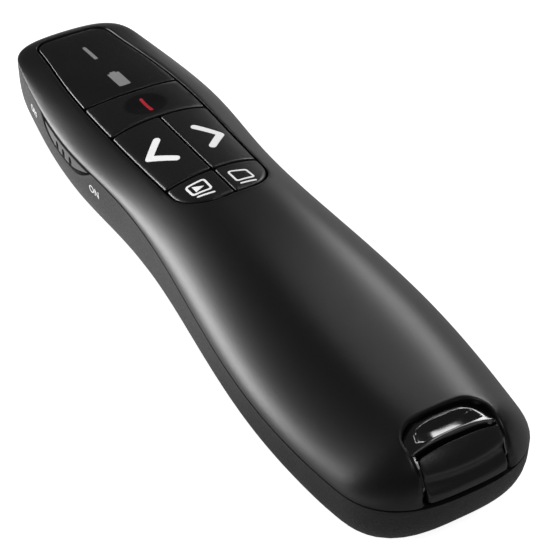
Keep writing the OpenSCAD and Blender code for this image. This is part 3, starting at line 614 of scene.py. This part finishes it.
for node, name, tail_line, head_line, side, body, rule, finish in (
        ("indicator_panel", "panel_cap", laser_seam, None, 0, "body", lay_on_top, panel_black),
        ("laser_button", "laser_cap", page_seam, laser_seam, 0, "laser_key", thumb_dip, dimple_black),
        ("previous_button", "previous_cap", small_seam, page_seam, -1, "previous_key", lay_on_top, button_black),
        ("next_button", "next_cap", small_seam, page_seam, 1, "next_key", lay_on_top, button_black),
        ("start_button", "start_cap", None, small_seam, -1, "start_key", lay_on_top, button_black),
        ("blank_button", "blank_cap", None, small_seam, 1, "blank_key", lay_on_top, button_black)):
    outline = cap_outline(tail_line, head_line, side)
    cap = slab(name, outline, 0, -1.3)
    if node == "indicator_panel":
        bar = [(-0.35, 52.9), (0.35, 52.9), (0.35, 58.5), (-0.35, 58.5)]
        cell = [(-1.15, 41), (1.15, 41), (1.15, 46.2), (0.55, 46.2), (0.55, 46.75), (-0.55, 46.75), (-0.55, 46.2),
                (-1.15, 46.2)]
        cut_out(cap, slab("bar_tool", bar, 1, -3))
        cut_out(cap, slab("cell_tool", cell, 1, -3))
    soften_edges(cap, lambda p, q: p[2] > -0.01 and q[2] > -0.01 and (
        node != "indicator_panel" or abs(p[0] + q[0]) > 2.6 or not 40.3 <= (p[1] + q[1]) / 2 <= 60), 0.34, 3)
    score(cap, "x", spaced(-10, 10, 1))
    score(cap, "y", spaced(0, 66, 1.1))
    bend(cap, rule)
    paint(cap, finish)
    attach(cap, body)
    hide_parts(node)

# Printed symbols.
# White and red ink, screen-printed a few hundredths of a millimetre thick on the caps and lacquered over; the ink also
# has a faint painted glow.
# Chevrons on the page buttons, framed play and blank-screen signs on the small ones, a red bar on the laser's.
glowing_white_ink = finish_of("glowing_white_ink", (0.83, 0.83, 0.83), (0.76, 0.76, 0.76), 0.42, 0.05, grain=0.1, grain_size=0.2)
glowing_red_ink = finish_of("glowing_red_ink", (0.38, 0.010, 0.022), (0.3, 0.008, 0.018), 0.35, 0.05, grain=0.1, grain_size=0.2)
# Both inks glow a little in their own colour. This is painted light that keeps the print bright where the lamps leave
# it dim.
for ink in (glowing_white_ink, glowing_red_ink):
    n, l = ink.node_tree.nodes, ink.node_tree.links
    tone = [k for k in n if k.bl_idname == "ShaderNodeValToRGB"][0]
    l.new(tone.outputs["Color"], n["Principled BSDF"].inputs["Emission Color"])
    n["Principled BSDF"].inputs["Emission Strength"].default_value = 0.6


def brush_line(points, width):
    """Outline of a line of that width through the points, with round ends and bends."""
    pts = [np.array(p, float) for p in points]
    sides = ([], [])
    for way, walk in ((0, pts), (1, pts[::-1])):
        for k in range(len(walk) - 1):
            d = (walk[k + 1] - walk[k]) / np.hypot(*(walk[k + 1] - walk[k]))
            n = np.array([d[1], -d[0]]) * width / 2
            sides[way].append((walk[k] + n, walk[k + 1] + n, d))
    out = []

    def arc(middle, start, end, count):
        return [middle + width / 2 * np.array([math.cos(v), math.sin(v)]) for v in np.linspace(start, end, count)]

    for way, walk in ((0, pts), (1, pts[::-1])):
        lines = sides[way]
        for k, (a, b, d) in enumerate(lines):
            if k == 0:
                out.append(a)
            if k + 1 < len(lines):
                a2, _, d2 = lines[k + 1]
                turn_in = d[0] * d2[1] - d[1] * d2[0]
                if turn_in < 0:
                    t = ((a2 - a)[0] * d2[1] - (a2 - a)[1] * d2[0]) / turn_in
                    out.append(a + d * t)
                else:
                    c = walk[k + 1]
                    a0, a1 = math.atan2(*(b - c)[::-1]), math.atan2(*(a2 - c)[::-1])
                    a1 += 2 * math.pi if a1 < a0 else 0
                    out += arc(c, a0, a1, 7)
            else:
                c = walk[-1]
                a0 = math.atan2(*(b - c)[::-1])
                out += arc(c, a0, a0 + math.pi, 9)[:-1]
    return [tuple(map(float, q)) for q in out]


def print_on(name, outlines, ink, body, rule, hole=None, thick=0.05):
    """Prints flat outlines on a cap and lets them ride with it; the hole is cut out of the first one."""
    marks = [slab(name, outline, thick, -0.04) for outline in outlines]
    mark = marks[0]
    if hole:
        cut_out(mark, slab("print_tool", hole, 1, -1))
    bpy.ops.object.select_all(action="DESELECT")
    for part in marks:
        part.select_set(True)
    bpy.context.view_layer.objects.active = mark
    if len(marks) > 1:
        bpy.ops.object.join()
    xs, ys = zip(*[q for outline in outlines for q in outline])
    score(mark, "x", np.arange(min(xs), max(xs), 0.5)[1:])
    score(mark, "y", np.arange(min(ys), max(ys), 0.5)[1:])
    bend(mark, rule)
    paint(mark, ink)
    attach(mark, body)


print_on("previous_chevron", [brush_line([(-3.85, 21.75), (-7.15, 18.3), (-3.55, 15.15)], 1.3)], glowing_white_ink,
         "previous_key", lay_on_top)
print_on("next_chevron", [brush_line([(3.65, 21.9), (6.85, 18.3), (3.55, 15.15)], 1.3)], glowing_white_ink,
         "next_key", lay_on_top)


def round_frame(corners, radius):
    """A four-sided outline with round corners."""
    out = []
    n = len(corners)
    for k in range(n):
        c = np.array(corners[k])
        a, b = np.array(corners[k - 1]) - c, np.array(corners[(k + 1) % n]) - c
        a, b = a / np.hypot(*a), b / np.hypot(*b)
        half = math.acos(np.clip(a @ b, -1, 1)) / 2
        m = c + (a + b) / np.hypot(*(a + b)) * radius / math.sin(half)
        p, q = c + a * radius / math.tan(half) - m, c + b * radius / math.tan(half) - m
        a0, a1 = math.atan2(p[1], p[0]), math.atan2(q[1], q[0])
        swing = (a1 - a0 + math.pi) % (2 * math.pi) - math.pi
        out += [(float(m[0] + radius * math.cos(a0 + swing * t)), float(m[1] + radius * math.sin(a0 + swing * t)))
                for t in np.linspace(0, 1, 6)]
    return out


def shrink(corners, by):
    """The same outline, smaller by that much on each side."""
    c = np.mean(np.array(corners), 0)
    return [tuple(map(float, c + (np.array(q) - c) * (1 - by / np.abs(np.array(q) - c)))) for q in corners]


play_frame = [(-6.4, 7.2), (-2.6, 7.15), (-2.65, 3.75), (-6.3, 4.3)]
print_on("play_sign", [round_frame(play_frame, 0.6), [(-5.35, 6.4), (-3.6, 5.35), (-5.35, 4.8)],
                       brush_line([(-5.7, 3.55), (-3.0, 2.85)], 0.36)], glowing_white_ink, "start_key", lay_on_top,
         round_frame(shrink(play_frame, 0.36), 0.35))
screen_frame = [(1.45, 6.75), (4.95, 6.1), (5.2, 3.35), (1.5, 3.25)]
print_on("screen_sign", [round_frame(screen_frame, 0.5), brush_line([(1.95, 2.5), (4.7, 2.45)], 0.36)], glowing_white_ink,
         "blank_key", lay_on_top, round_frame(shrink(screen_frame, 0.34), 0.3))
print_on("laser_mark", [brush_line([(0, 35.0), (0, 30.9)], 0.6)], glowing_red_ink, "laser_key", thumb_dip)

# Power switch.
# A smooth dark grey plastic slider in the left wall, boat-shaped, with three grip notches cut up from its lower edge.
# A neck through the slot joins it to an inner plate, which pushes the lever of the slide switch on the board.


def wall_side(y, depth):
    """How far the lower shell's wall is from the middle, at a depth below the seam."""
    d = np.clip(depth / belly_depth(y), 0, 0.999)
    return half_width(y) * (1 - d ** POWER) ** (1 / POWER)


def on_left_wall(x, y, z):
    """Stands a flat plate on the left wall: x runs towards the tail, y upwards from the seam, z outwards."""
    return -(wall_side(-x, np.maximum(-y, 0)) + z), -x, seam_height(np.full_like(x, -36.4) * -1) + y


TOP_FACE = 0.2  # how far the slider stands out of the wall
slider = slab("slider_knob", [(-y, -0.3 - d) for y, d in boat(26.5, 17.7, 2.3, 0.44, 3.5, 12)], TOP_FACE, -1.1)
for k in range(3):
    at = -(32.9 + k * 2.7)
    notch_tool = slab("notch_tool", [(at - 0.5, -4), (at + 0.5, -4), (at + 0.5, -1.3), (at, -0.8), (at - 0.5, -1.3)],
                      1, -0.75)
    cut_out(slider, notch_tool)
soften_edges(slider, lambda p, q: min(p[2], q[2]) > TOP_FACE - 0.01, 0.2, 3)
neck = slab("slider_neck", [(-35.9, -2.2), (-29.4, -2.2), (-29.4, -0.8), (-35.9, -0.8)], -1.0, -3.2)
plate = slab("slider_plate", [(-43.4, -2.6), (-29.4, -2.6), (-29.4, -0.4), (-43.4, -0.4)], -3.0, -3.8)
join([neck, plate, slider])
score(slider, "x", spaced(-45, -25, 0.6))
score(slider, "y", spaced(-3.2, -0.2, 0.5))
bend(slider, on_left_wall)
slider_grey = finish_of("smooth_grey_plastic", (0.1, 0.1, 0.104), (0.085, 0.085, 0.088), 0.32, 0.05, grain=0.1,
                        grain_size=0.25)
paint(slider, slider_grey)
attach(slider, "switch")
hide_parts("power_switch")

WORD_SIZE, WORD_DROP = 2.1, 3.45  # height of the letters, and of their middle below the seam
for word, middle in (("ON", 24.85), ("OFF", 52.1)):
    bpy.ops.object.select_all(action="DESELECT")
    bpy.ops.object.text_add()
    letters = bpy.context.object
    letters.data.body = word
    letters.data.size = WORD_SIZE
    letters.data.align_x, letters.data.align_y = "CENTER", "CENTER"
    letters.data.extrude = 0.045
    letters.data.space_character = 1.05
    letters.data.resolution_u = 4
    bpy.ops.object.convert(target="MESH")
    letters = bpy.context.object
    letters.name = "switch_word_" + word.lower()
    points = np.empty(len(letters.data.vertices) * 3)
    letters.data.vertices.foreach_get("co", points)
    points = points.reshape(-1, 3)
    points[:, 0] -= middle
    points[:, 1] -= WORD_DROP
    letters.data.vertices.foreach_set("co", points.ravel())
    score(letters, "x", np.arange(-middle - 2.5, -middle + 2.5, 0.4))
    bend(letters, on_left_wall)
    paint(letters, glowing_white_ink)
    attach(letters, "body")

# Receiver.
# The housing of the radio receiver, matt black plastic, one moulding over the end of its plug.
# Its face goes on with the body's tail: a rounded upper edge, a long slope, a cove for the finger nail and a ledge.
REACH = 9.0  # length of its face, measured round its curve
PLUG_FACE = -63.3  # the flat end that the plug stands on
LEDGE = 12.95  # height of its underside


def receiver_form(x, y, z):
    """Bends a flat plate into the housing: y runs down its face, z inwards to the flat plane of its plug."""
    a = np.clip(-y / REACH, 0, 1) * math.pi / 2
    near = 11.1 * (1 - (1 - np.clip((np.abs(x) + 0.5) / 14.9, 0, 1) ** 2.7) ** (1 / 2.7))
    out = PLUG_FACE - (4.06 - near * 0.9) * np.sin(a)
    share = np.minimum(np.abs(x) / np.maximum(half_width(out), 0.1), 1)
    high = seam_height(out) + crown_height(out) * (1 - share ** CROWN_POWER) ** CROWN_ROOT - 0.12
    high = np.maximum(high - 0.5 * np.cos(a) * (1 - (x / 7) ** 2), LEDGE)
    foot = np.clip((a - 1.42) / 0.15, 0, 1)
    high = high * (1 - foot) + np.minimum(high, LEDGE) * foot
    cove = np.clip(np.abs(high - 16.0) / 1.7, 0, 1)
    out = out + 0.75 * (1 + np.cos(math.pi * cove)) / 2
    q = np.clip(-z / 4, 0, 1)
    return x, out * (1 - q) + PLUG_FACE * q, high * (1 - q) + (LEDGE + (high - LEDGE) * 0.93) * q


face = []
for corner, radius in (((6.25, -0.7, 0), 0.7), ((-6.25, -0.7, 90), 0.7), ((-6.45, -8.5, 180), 0.5),
                       ((6.45, -8.5, 270), 0.5)):
    face += round_corners([corner], radius)
housing = slab("receiver_cap", face, 0, -4)
soften_edges(housing, lambda p, q: p[2] > -0.01 and q[2] > -0.01, 0.5, 5)
score(housing, "x", spaced(-6.7, 6.7, 0.6))
score(housing, "y", spaced(-9, 0, 0.25)[1:-1])
bend(housing, receiver_form, 40)
receiver_black = finish_of("matt_black_plastic", (0.02, 0.02, 0.021), (0.015, 0.015, 0.016), 0.38, 0.05, grain=0.25,
                           grain_size=0.25)
paint(housing, receiver_black)
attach(housing, "receiver")
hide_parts("receiver_housing")

# Receiver's dock.
# One glossy black moulding in the tail window: a bowl for the finger tip, a fine ridge in front of it and a strip that
# falls towards the receiver, with a thin cheek down each side; under it a tunnel for the plug.


def dock_form(x, y, z):
    """Height of the dock's upper face over its plan."""
    top, aside = top_height(x, y), np.abs(x)
    floor_line = 18.95 + 0.29 * (y + 60.9) + 0.03 * (y + 60.0) ** 2 + 2.4 * (aside / 7.2) ** 4
    bowl = floor_line + 2.6 * np.maximum(-60.9 - y, 0) ** 2 + 0.95 * np.maximum(y + 59.6, 0) ** 2
    crest = top_height(x, -62.05) - 0.5 - 0.06 * (y + 62.05)
    face = top - 0.35 - 0.2 * np.logaddexp(0, (top - 0.35 - bowl) / 0.2)
    fall = np.clip((-62.15 - y) / 0.6, 0, 1)
    fall = fall - 0.85 * np.sin(6 * math.pi * fall) / (6 * math.pi)
    face = crest - 0.1 * np.logaddexp(0, (crest - face) / 0.1) - 1.75 * fall
    cheek = np.clip((aside - 6.7) / 0.25, 0, 1) * np.clip((-62.1 - y) / 0.3, 0, 1)
    flare = top_height(x, -62.2) - 0.35 - 0.7 * (-62.2 - y) - 1.6 * np.clip((-64.4 - y) / 1.2, 0, 1)
    return x, y, face * (1 - cheek) + np.minimum(flare, top - 0.22) * cheek + z


plan = [(6.2, -62.78), (6.8, -62.86), (7.05, -63.2), (7.1, -65.6), (7.42, -65.6)]
plan += [(7.42, y) for y in spaced(-65.2, -61.1, 0.5)]
plan += [(4 + 3.42 * math.cos(a), -61.1 + 3.42 * math.sin(a)) for a in np.radians(np.arange(8, 91, 8))]
plan = plan + [(-x, y) for x, y in reversed(plan)]
dock = slab("dock_bowl", plan, 0, -0.7)
score(dock, "x", spaced(-7.3, 7.3, 0.24))
score(dock, "y", np.concatenate([spaced(-65.5, -62.8, 0.25), spaced(-62.7, -61.3, 0.07), spaced(-61.2, -57.7, 0.14)]))
bend(dock, dock_form, 70)
dock_gloss = finish_of("glossy_black_dock", (0.006, 0.006, 0.009), (0.004, 0.004, 0.006), 0.1, 0.02, grain=0.008,
                       grain_size=0.4, coat=1.0, specular=1.0)
bpy.ops.mesh.primitive_cube_add(size=0.001, location=(0, -0.05665, 0.0151), scale=(14, 12.5, 5.8))
tunnel = bpy.context.object
bpy.ops.object.transform_apply(location=True, rotation=True, scale=True)
bpy.ops.mesh.primitive_cube_add(size=0.001, location=(0, -0.0573, 0.0154), scale=(12.4, 12.9, 4.9))
cut_out(tunnel, bpy.context.object)
join([tunnel, dock])
n, l = dock_gloss.node_tree.nodes, dock_gloss.node_tree.links
place, apart, near = n.new("ShaderNodeTexCoord"), n.new("ShaderNodeSeparateXYZ"), n.new("ShaderNodeMath")
satin = n.new("ShaderNodeMapRange")
near.operation, near.inputs[1].default_value, near.inputs[2].default_value = "COMPARE", -0.0621, 0.00022
l.new(place.outputs["Object"], apart.inputs[0])
l.new(apart.outputs["Y"], near.inputs[0])
l.new(near.outputs[0], satin.inputs["Value"])
satin.inputs["To Min"].default_value, satin.inputs["To Max"].default_value = 0.13, 0.3
l.new(satin.outputs["Result"], n["Principled BSDF"].inputs["Roughness"])
paint(dock, dock_gloss)
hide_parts("receiver_dock")
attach(dock, "body")

# Battery door.
# Grained black plastic like the lower shell's, following its belly, hinged on two tongues at its head end.
# A finger dip and three grip grooves near its tail end open it.
door_edge = divide_sides(round_corners(DOOR_CORNERS, DOOR_RADIUS - DOOR_GAP))
door = slab("battery_lid", on_floor(door_edge), 0, -1.8)
for k in range(3):
    y0 = -40.7 + 1.5 * k
    cut_out(door, slab("groove_tool", on_floor([(-5, y0), (5, y0), (5, y0 + 0.6), (-5, y0 + 0.6)]), 1, -0.4))
soften_edges(door, lambda p, q: p[2] > -0.01 and q[2] > -0.01, 0.18, 2)
tongues = []
for side in (-4.2, 4.2):
    for y0, y1, low_w, high_w in ((1.7, 2.9, -3.0, -1.4), (1.7, 4.7, -3.0, -2.15)):
        left, right = side - 2.2, side + 2.2
        outline = on_floor([(left, y0), (right, y0), (right, y1), (left, y1)])
        tongues.append(slab("lid_tongue", outline, high_w, low_w))
join(tongues + [door])
score(door, "x", spaced(-16, 16, 0.8))
score(door, "y", spaced(-48.9, 4.4, 0.8))


def lid_form(r, y, w):
    """The lower shell's bend, with the finger dip pressed into it."""
    dip = 1.1 * np.clip(1 - (r / 5.4) ** 4, 0, 1) * np.clip(1 - ((y + 44.6) / 2.4) ** 2, 0, 1)
    x, along, z = wrap_lower(r, y, w)
    return x, along, z + dip * (w > -1.85)


bend(door, lid_form)
paint(door, lower_black)
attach(door, "door")
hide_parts("battery_door")

# Battery springs.
# Two conical springs wound from 0.4 mm steel wire, one at the flat end of each cell, seated on their contact plates.
spring_steel = finish_of("spring_steel", (0.42, 0.43, 0.44), (0.34, 0.35, 0.36), 0.28, 0.06, grain=0.05, metal=1.0)
coils = []
for side, plate_y, way in ((-5.6, -48.2, 1), (5.6, -0.8, -1)):
    wire = bpy.data.curves.new("spring_wire", "CURVE")
    wire.dimensions, wire.bevel_depth, wire.bevel_resolution = "3D", 0.0002, 2
    turns, steps, wide_end, narrowing = 4.2, 110, 3.2, 1.0
    line = wire.splines.new("POLY")
    line.points.add(steps)
    for k in range(steps + 1):
        t = k / steps
        climb = 0.25 + 2.1 * (t * t * (3 - 2 * t))
        radius = wide_end - narrowing * t
        a = 2 * math.pi * turns * t
        line.points[k].co = ((side + radius * math.cos(a)) / 1000, (plate_y + way * climb) / 1000,
                             (7.45 + radius * math.sin(a)) / 1000, 1)
    coil = bpy.data.objects.new("spring_coil", wire)
    bpy.context.collection.objects.link(coil)
    coils.append(coil)
bpy.ops.object.select_all(action="DESELECT")
for coil in coils:
    coil.data.use_fill_caps = True
    coil.select_set(True)
bpy.context.view_layer.objects.active = coils[0]
bpy.ops.object.convert(target="MESH")
bpy.ops.object.join()
springs = bpy.context.object
springs.name = "wound_springs"
bpy.ops.object.shade_smooth_by_angle(angle=math.radians(40))
paint(springs, spring_steel)
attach(springs, "body")
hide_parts("battery_springs")

# Batteries.
# Two AAA cells in printed sleeves, bare steel at both ends, side by side and turned end for end.
sleeve = finish_of("cell_sleeve", (0.03, 0.035, 0.05), (0.025, 0.03, 0.04), 0.3, 0.05, grain=0.05, coat=0.3)
n, l = sleeve.node_tree.nodes, sleeve.node_tree.links
where, split = n.new("ShaderNodeTexCoord"), n.new("ShaderNodeSeparateXYZ")
l.new(where.outputs["Object"], split.inputs[0])
band = n.new("ShaderNodeMapRange")
band.inputs["From Min"].default_value, band.inputs["From Max"].default_value = -0.0485, -0.0005
l.new(split.outputs["Y"], band.inputs["Value"])
stripes = n.new("ShaderNodeValToRGB")
stripes.color_ramp.interpolation = "CONSTANT"
stripes.color_ramp.elements[0].color = (0.55, 0.55, 0.55, 1)
stripes.color_ramp.elements[1].position, stripes.color_ramp.elements[1].color = 0.94, (0.55, 0.55, 0.55, 1)
for place, tint in ((0.06, (0.035, 0.04, 0.06, 1)), (0.3, (0.62, 0.62, 0.6, 1)), (0.32, (0.035, 0.04, 0.06, 1))):
    stop = stripes.color_ramp.elements.new(place)
    stop.color = tint
l.new(band.outputs["Result"], stripes.inputs["Fac"])
l.new(stripes.outputs["Color"], n["Principled BSDF"].inputs["Base Color"])


def paint_nodes(finish, *names):
    """Gives solids of the frame that finish."""
    for name in names:
        paint(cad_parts[name], finish)


paint_nodes(sleeve, "battery_left", "battery_right")

# Tray, plungers and button frame.
# Plain black mouldings inside the body: the cells' tray, the plungers on the switches, the frame that carries the caps.
inner_black = finish_of("plain_black_plastic", (0.016, 0.016, 0.017), (0.012, 0.012, 0.013), 0.55, 0.06, grain=0.3,
                        grain_size=0.4)
paint_nodes(inner_black, "battery_tray", "button_frame", "laser_plunger", "previous_plunger", "next_plunger",
            "start_plunger", "blank_plunger", "receiver_tongue")

# Contacts, plug and screws.
# Nickel-plated spring sheet, the drawn shell of the plug, its gilded contacts, and plated steel screws.
nickel = finish_of("nickel_plate", (0.66, 0.65, 0.62), (0.58, 0.57, 0.54), 0.24, 0.08, grain=0.06, grain_size=0.5,
                   metal=1.0)
steel = finish_of("plated_steel", (0.5, 0.5, 0.52), (0.4, 0.4, 0.42), 0.32, 0.08, grain=0.1, grain_size=0.4, metal=1.0)
gilt = finish_of("gilt_contact", (0.85, 0.6, 0.25), (0.75, 0.5, 0.2), 0.25, 0.06, grain=0.05, metal=1.0)
paint_nodes(nickel, "battery_contacts", "receiver_plug", "crystal")
paint_nodes(steel, "board_screws", "case_screws")
paint_nodes(gilt, "receiver_contacts")

# Boards and what stands on them.
# Glass-fibre boards under green lacquer with fine tracks, black chips, white diodes, tact switches and a slide switch.
lacquer = finish_of("green_lacquer", (0.02, 0.12, 0.04), (0.015, 0.09, 0.03), 0.3, 0.05, grain=0.05, coat=0.2)
n, l = lacquer.node_tree.nodes, lacquer.node_tree.links
tracks, cut, tint = n.new("ShaderNodeTexVoronoi"), n.new("ShaderNodeValToRGB"), n.new("ShaderNodeMix")
tracks.feature = "DISTANCE_TO_EDGE"
tracks.inputs["Scale"].default_value = 420
cut.color_ramp.elements[0].position, cut.color_ramp.elements[1].position = 0.05, 0.08
tint.data_type = "RGBA"
where = n.new("ShaderNodeTexCoord")
l.new(where.outputs["Object"], tracks.inputs["Vector"])
l.new(tracks.outputs["Distance"], cut.inputs["Fac"])
l.new(cut.outputs["Color"], tint.inputs["Factor"])
tint.inputs["A"].default_value = (0.05, 0.22, 0.08, 1)
ramp = [k for k in n if k.bl_idname == "ShaderNodeValToRGB" and k != cut][0]
l.new(ramp.outputs["Color"], tint.inputs["B"])
l.new(tint.outputs["Result"], n["Principled BSDF"].inputs["Base Color"])
chip_black = finish_of("chip_black", (0.02, 0.02, 0.02), (0.015, 0.015, 0.015), 0.45, 0.08, grain=0.3, grain_size=0.3)
switch_grey = finish_of("switch_grey", (0.05, 0.05, 0.052), (0.04, 0.04, 0.042), 0.45, 0.06, grain=0.15)
nylon = finish_of("white_nylon", (0.7, 0.7, 0.68), (0.62, 0.62, 0.6), 0.5, 0.06, grain=0.15)
paint_nodes(lacquer, "main_board", "receiver_board")
paint_nodes(chip_black, "radio_chip")
paint_nodes(switch_grey, "tact_switches")
paint_nodes(steel, "slide_switch")
paint_nodes(nylon, "switch_lever", "status_led", "battery_leds")

# Laser and light windows.
# A brass laser barrel behind a dark glass lens in the nose, and two smoked windows that carry light to the panel.
brass = finish_of("turned_brass", (0.72, 0.5, 0.2), (0.62, 0.42, 0.16), 0.26, 0.06, grain=0.05, metal=1.0)
lens_glass = finish_of("dark_lens_glass", (0.05, 0.006, 0.008), (0.04, 0.004, 0.006), 0.05, 0.02, grain=0.02, coat=0.5)
window_grey = finish_of("smoked_window", (0.5, 0.5, 0.5), (0.44, 0.44, 0.44), 0.35, 0.04, grain=0.05)
paint_nodes(brass, "laser_module")
paint_nodes(lens_glass, "laser_lens")
paint_nodes(window_grey, "status_light_guide", "battery_light_guide")
